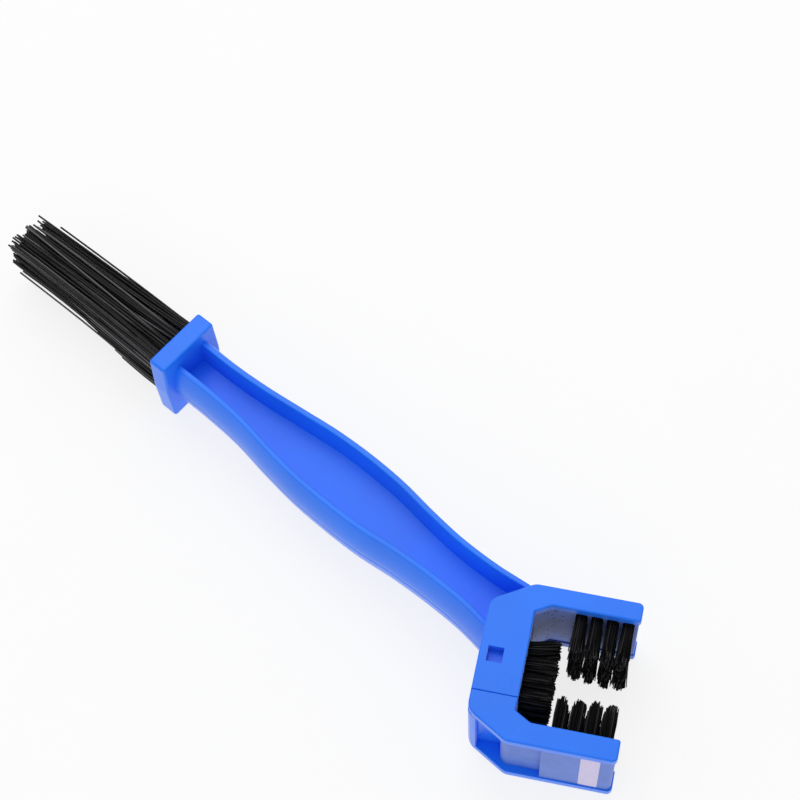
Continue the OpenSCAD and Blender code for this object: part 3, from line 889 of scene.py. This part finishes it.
def head_tuft(shape, root, out, across, length_mm, rng, fan, swell, crown):
    """One short tuft, in the head's axes: fan leans its tips, swell widens its waist and crown
    shortens its outer filaments."""
    b = scene_settings("bristle")
    number, radius = b.filaments, b.tuft * 500 - b.filament * 500
    up = np.cross(out, across)
    places = packed_places(number, radius, rng)
    jitter, gather, splay, clumps = 0.16, 0.16, (0.10, 0.30), 5
    lean = rng.normal(0, jitter, 2) + np.array(fan)
    clump = rng.normal(0, 1, (clumps, 2)) * radius * 0.8
    nearest = np.argmin(((places[:, None] - clump[None]) ** 2).sum(-1), 1)
    pull = (clump[nearest] - places) * gather
    spread = places * rng.uniform(*splay, (number, 1)) + pull + rng.normal(0, jitter, (number, 2)) + lean
    heart = rng.normal(0, 0.25, 2) * radius
    worn = rng.beta(1.2, 5.0, number) * 0.16 + rng.uniform(0, 0.09, clumps)[nearest]
    worn += crown * np.clip(((places - heart) ** 2).sum(1) / radius ** 2, 0, 1.3) ** 2
    height = length_mm * (1 - worn + worn.min())
    steps = np.array([0.0, 0.2, 0.55, 1.0])
    paths = []
    for t in steps:
        level = places * (1 + swell * math.sin(math.pi * min(1, 1.2 * t))) + spread * t ** 1.3
        rise = height * t - (SUNK if t == 0 else 0)
        paths.append(root + level[:, :1] * across + level[:, 1:] * up + rise[:, None] * out)
    filaments(shape, np.stack(paths, 1), b.filament * 500, rng, sides=4, taper=0.85)


def rows_of(pitch, number=5):
    """Evenly spaced places round zero."""
    return (np.arange(number) - (number - 1) / 2) * pitch


class OBJECT_OT_chain_brush_head_bristles(bpy.types.Operator):
    """Make the bristle tufts of the two jaws and of the back"""
    bl_idname = "object.chain_brush_head_bristles"
    bl_label = "Head bristles"

    # For each pad: heights and fans of its four columns, then the tufts' swell and crown
    PADS = {"fixed_jaw": ((12.6, 12.8, 13.0, 13.2), (0.15, 0.05, -0.05, -0.15), 0.0, 0.10),
            "clip_jaw": ((11.9, 12.0, 12.2, 12.6), (0.3, 0.3, 0.2, -0.1), 0.22, 0.12),
            "back": ((9.7,) * 4, (0.3, 0.3, 0.3, 1.9), 0.16, 0.08)}

    def execute(self, context):
        h = millimetres("head")
        half = h.width / 2
        x, y, z = np.eye(3)
        material = [made_once(worn_bristle_nylon)]
        for column in range(COLUMNS):
            along = JAW_PITCH * column
            sideways = BACK_MIDDLE + rows_of(BACK_PITCH, COLUMNS)[column]
            pads = {
                "fixed_jaw": ((FIXED_X + along, half - h.fixed_jaw + h.recess, 0), -y, x, "handle"),
                "clip_jaw": ((CLIP_X + along, h.clip_jaw - half - h.recess, 0), y, x, "clip_jaw"),
                "back": ((h.back, sideways, 0), x, y, "handle"),
            }
            for number, (pad, (root, out, across, body)) in enumerate(pads.items()):
                rng = np.random.default_rng(100 * number + column + 7)
                shape = Shape()
                heights, fans, swell, crown = self.PADS[pad]
                for level in rows_of(ROW_PITCH):
                    head_tuft(shape, root + level * z, out, across, heights[column], rng,
                              (fans[column], 0), swell, crown)
                node = f"{pad}_tufts_{column + 1}"
                tufts = build_mesh(node + "_filaments", shape, head_place)
                finish_piece(tufts, body, "bristle", material, node, sharp=95)
        return {"FINISHED"}


class OBJECT_OT_chain_brush_end_bristles(bpy.types.Operator):
    """Make the long tufts of the end brush"""
    bl_idname = "object.chain_brush_end_bristles"
    bl_label = "End bristles"

    # Bent or broken filaments on the two outer sides: root y and z, tip x, y and z
    STRAYS = {0: ((-8.7, -11.0, 21.0, -8.3, -11.8), (-8.6, -10.0, 24.5, -8.0, -11.0),
                  (-8.8, -8.6, 27.0, -7.8, -9.8), (-8.6, -6.8, 33.0, -7.7, -9.6),
                  (-8.4, -9.6, 38.0, -7.0, -9.0), (-8.6, -10.6, 44.0, -6.6, -8.6),
                  (-8.4, -7.5, 50.0, -6.5, -8.2), (-8.2, 2.0, 66.0, -5.2, 3.0)),
              3: ((8.6, 9.5, 61.0, 7.4, 9.8), (8.3, 3.0, 65.5, 6.2, 7.0), (8.0, 10.0, 70.5, 6.1, 9.0))}

    # For each column: extra scatter of the tips of a few filaments, and the share they are shorter
    ASTRAY = np.array([[0.6, 0.3], [1.6, 0.5], [1.6, 0.5], [0.6, 0.3]])
    SHORTER = (0, 0, 0, 0.045)

    def strays(self, column, steps, start):
        """Paths of the bent filaments of an outer column, bowed outwards."""
        rows = np.array(self.STRAYS[column])
        paths = []
        for t in steps:
            side = rows[:, :2] + (rows[:, 3:] - rows[:, :2]) * t
            side += np.sign(rows[:, :1]) * [STRAY_BOW, 0] * math.sin(math.pi * t)
            paths.append(np.c_[start + (SUNK if t == 0 else 0) - rows[:, 2] * t, side])
        return np.stack(paths, 1)

    def execute(self, context):
        b = scene_settings("bristle")
        g = millimetres("handle")
        tall, radius = b.end_length * 1000, b.tuft * 500 - b.end_filament * 500
        steps = np.linspace(0, 1, 8)
        for column in range(COLUMNS):
            rng = np.random.default_rng(900 + column)
            shape = Shape()
            for level in rows_of(END_PITCH[1]):
                middle = np.array([rows_of(END_PITCH[0], COLUMNS)[column], level])
                places = middle + packed_places(b.end_filaments, radius, rng)
                number = len(places)
                loose = (places - middle) * 0.35 + rng.normal(0, 0.22, (number, 2))
                astray = (rng.random((number, 1)) < 0.14) * self.ASTRAY[column]
                drawn = places * [-0.17, -0.30] + abs(places) * [0.07, 0]
                tips = [-0.9, -0.6] + rng.normal(0, 1, (number, 2)) * (0.35 + astray)
                worn = rng.beta(1.2, 3.5, number) * 0.12 + self.SHORTER[column]
                height = tall * (1 - worn)
                bow = rng.normal(0, 0.22, (number, 2)) + [0.3, 0]
                wave = rng.normal(0, 0.22, (number, 2))
                paths = []
                for t in steps:
                    level_at = places + drawn * (1 - (1 - t) ** 2) + tips * t + loose * min(1, 3 * t) \
                        + bow * (4 * t * (1 - t)) + wave * math.sin(2 * math.pi * t) * t
                    x = -g.collar_thickness - height * t + (SUNK if t == 0 else 0)
                    paths.append(np.c_[x, level_at])
                filaments(shape, np.stack(paths, 1), b.end_filament * 500, rng)
            if column in self.STRAYS:
                filaments(shape, self.strays(column, steps, -g.collar_thickness),
                          b.end_filament * 500, rng)
            node = f"end_tufts_{column + 1}"
            tufts = build_mesh(node + "_filaments", shape, handle_place)
            finish_piece(tufts, "handle", "bristle", [made_once(bristle_nylon)], node, sharp=80)
        return {"FINISHED"}


class OBJECT_OT_chain_brush_anchors(bpy.types.Operator):
    """Give the hidden anchors their wire finish"""
    bl_idname = "object.chain_brush_anchors"
    bl_label = "Anchors"

    def execute(self, context):
        wire = made_once(anchor_wire)
        for name in ("fixed_jaw", "back", "clip_jaw", "end"):
            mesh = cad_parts[name + "_anchors"].data
            mesh.materials.clear()
            mesh.materials.append(wire)
        return {"FINISHED"}


# Stage

# The photograph's camera, fitted in the head's axes to a head 30 mm thick, and its scale to this one
CAMERA_TURN = ((0.9771, 0.2102, -0.0337), (0.172, -0.8728, -0.4567), (-0.1254, 0.4405, -0.889))
CAMERA_SHIFT = (21.454, 74.617, 565.046)
FITTED_SCALE = 1.1
PHOTO_SHIFT = 0.000625      # the photograph's middle lies half a pixel from the frame's
FLOOR_DROP = 0.0002         # in metres, so that the floor doesn't touch the brush


def place_camera(stage):
    """The photograph's own view."""
    turn = Matrix(CAMERA_TURN)
    centre = -(turn.transposed() @ Vector(CAMERA_SHIFT)) * FITTED_SCALE
    spot = Vector(head_place(np.array(centre)) / 1000)
    to_frame = Matrix.Rotation(scene_settings("handle").angle, 3, "Z")
    axes = to_frame @ turn.transposed()
    flip = Matrix(((1, 0, 0), (0, -1, 0), (0, 0, -1)))
    data = bpy.data.cameras.new("camera")
    data.lens = stage.lens
    data.sensor_width = 36
    data.shift_x, data.shift_y = -PHOTO_SHIFT, PHOTO_SHIFT
    data.clip_start, data.clip_end = 0.01, 20
    camera = new_object("camera", data)
    camera.matrix_world = Matrix.Translation(spot) @ (axes @ flip).to_4x4()
    bpy.context.scene.camera = camera


def floor_material(glow):
    """White table, lit from inside: it lights the brush from below and keeps its soft shadow."""
    material, tree, shader = new_material("white_floor", 0.8, 0.1)
    grain = add_noise(tree, 30, 2, 0.5)
    ramp = add_ramp(tree, grain.outputs["Fac"], [(0.3, (0.90, 0.90, 0.90)), (0.7, (0.92, 0.92, 0.92))])
    tree.links.new(ramp.outputs["Color"], shader.inputs["Base Color"])
    seen, cast = (tree.nodes.new("ShaderNodeEmission") for _ in range(2))
    seen.inputs["Strength"].default_value = 1
    cast.inputs["Strength"].default_value = glow
    paper, floor = (tree.nodes.new("ShaderNodeMixShader") for _ in range(2))
    paper.inputs["Fac"].default_value = 0.8
    paths = tree.nodes.new("ShaderNodeLightPath")
    out = next(n for n in tree.nodes if n.type == "OUTPUT_MATERIAL")
    for source, target in ((shader.outputs["BSDF"], paper.inputs[1]),
                           (seen.outputs["Emission"], paper.inputs[2]),
                           (paths.outputs["Is Camera Ray"], floor.inputs["Fac"]),
                           (cast.outputs["Emission"], floor.inputs[1]),
                           (paper.outputs["Shader"], floor.inputs[2]),
                           (floor.outputs["Shader"], out.inputs["Surface"])):
        tree.links.new(source, target)
    return material


def sky_world(strength):
    world = bpy.data.worlds.new("soft_sky")
    world.use_nodes = True
    tree = world.node_tree
    back = next(n for n in tree.nodes if n.type == "BACKGROUND")
    back.inputs["Color"].default_value = (1, 1, 1, 1)
    paths = tree.nodes.new("ShaderNodeLightPath")
    level = tree.nodes.new("ShaderNodeMapRange")
    level.inputs["To Min"].default_value = strength
    level.inputs["To Max"].default_value = 1.0
    tree.links.new(paths.outputs["Is Camera Ray"], level.inputs["Value"])
    tree.links.new(level.outputs["Result"], back.inputs["Strength"])
    bpy.context.scene.world = world


def add_lamp(name, place, size, power):
    """A rectangular lamp that looks at the middle of the frame."""
    data = bpy.data.lights.new(name, "AREA")
    data.shape = "RECTANGLE"
    data.size, data.size_y = size
    data.energy = power
    lamp = new_object(name, data)
    lamp.location = place
    lamp.rotation_euler = (-Vector(place)).to_track_quat("-Z", "Y").to_euler()


class OBJECT_OT_chain_brush_stage(bpy.types.Operator):
    """Make the floor, the light and the camera"""
    bl_idname = "object.chain_brush_stage"
    bl_label = "Stage"

    def execute(self, context):
        stage = scene_settings("stage")
        place_camera(stage)
        mesh = bpy.data.meshes.new("floor")
        half = 3.0
        corners = [(-half, -half, 0), (half, -half, 0), (half, half, 0), (-half, half, 0)]
        mesh.from_pydata(corners, [], [(0, 1, 2, 3)])
        floor = new_object("floor", mesh)
        floor.location.z = -FLOOR_DROP
        mesh.materials.append(floor_material(stage.glow))
        sky_world(stage.sky)
        add_lamp("key_lamp", (-0.45, 0.35, 0.95), (0.9, 0.9), stage.key)
        add_lamp("fill_lamp", (0.6, -0.7, 0.6), (0.8, 0.8), stage.key * 0.25)
        context.scene.view_settings.view_transform = "Standard"
        return {"FINISHED"}


# Panel and run

class VIEW3D_PT_chain_brush(bpy.types.Panel):
    """Sizes, finishes and pieces of the chain brush"""
    bl_label = "Chain brush"
    bl_idname = "VIEW3D_PT_chain_brush"
    bl_space_type = "VIEW_3D"
    bl_region_type = "UI"
    bl_category = "Chain brush"

    def draw(self, context):
        layout = self.layout
        for kind in SETTINGS:
            box = layout.box()
            box.label(text=kind.capitalize())
            group = scene_settings(kind)
            for name in group.__annotations__:
                box.prop(group, name)
        for operator in OPERATORS:
            layout.operator(operator.bl_idname)


SETTINGS = {
    "head": ChainBrushHeadSettings,
    "handle": ChainBrushHandleSettings,
    "bristle": ChainBrushBristleSettings,
    "finish": ChainBrushFinishSettings,
    "stage": ChainBrushStageSettings,
}
OPERATORS = (
    OBJECT_OT_chain_brush_handle,
    OBJECT_OT_chain_brush_clip_jaw,
    OBJECT_OT_chain_brush_latch,
    OBJECT_OT_chain_brush_label,
    OBJECT_OT_chain_brush_head_bristles,
    OBJECT_OT_chain_brush_end_bristles,
    OBJECT_OT_chain_brush_anchors,
    OBJECT_OT_chain_brush_stage,
)


def register():
    for cls in (*SETTINGS.values(), *OPERATORS, VIEW3D_PT_chain_brush):
        bpy.utils.register_class(cls)
    for kind, cls in SETTINGS.items():
        setattr(bpy.types.Scene, "chain_brush_" + kind, bpy.props.PointerProperty(type=cls))


def unregister():
    for kind in SETTINGS:
        delattr(bpy.types.Scene, "chain_brush_" + kind)
    for cls in (VIEW3D_PT_chain_brush, *reversed(OPERATORS), *reversed(tuple(SETTINGS.values()))):
        bpy.utils.unregister_class(cls)


def main():
    register()
    bpy.ops.object.chain_brush_handle()
    bpy.ops.object.chain_brush_clip_jaw()
    bpy.ops.object.chain_brush_latch()
    bpy.ops.object.chain_brush_label()
    bpy.ops.object.chain_brush_head_bristles()
    bpy.ops.object.chain_brush_end_bristles()
    bpy.ops.object.chain_brush_anchors()
    bpy.ops.object.chain_brush_stage()


if __name__ == "__main__":
    main()
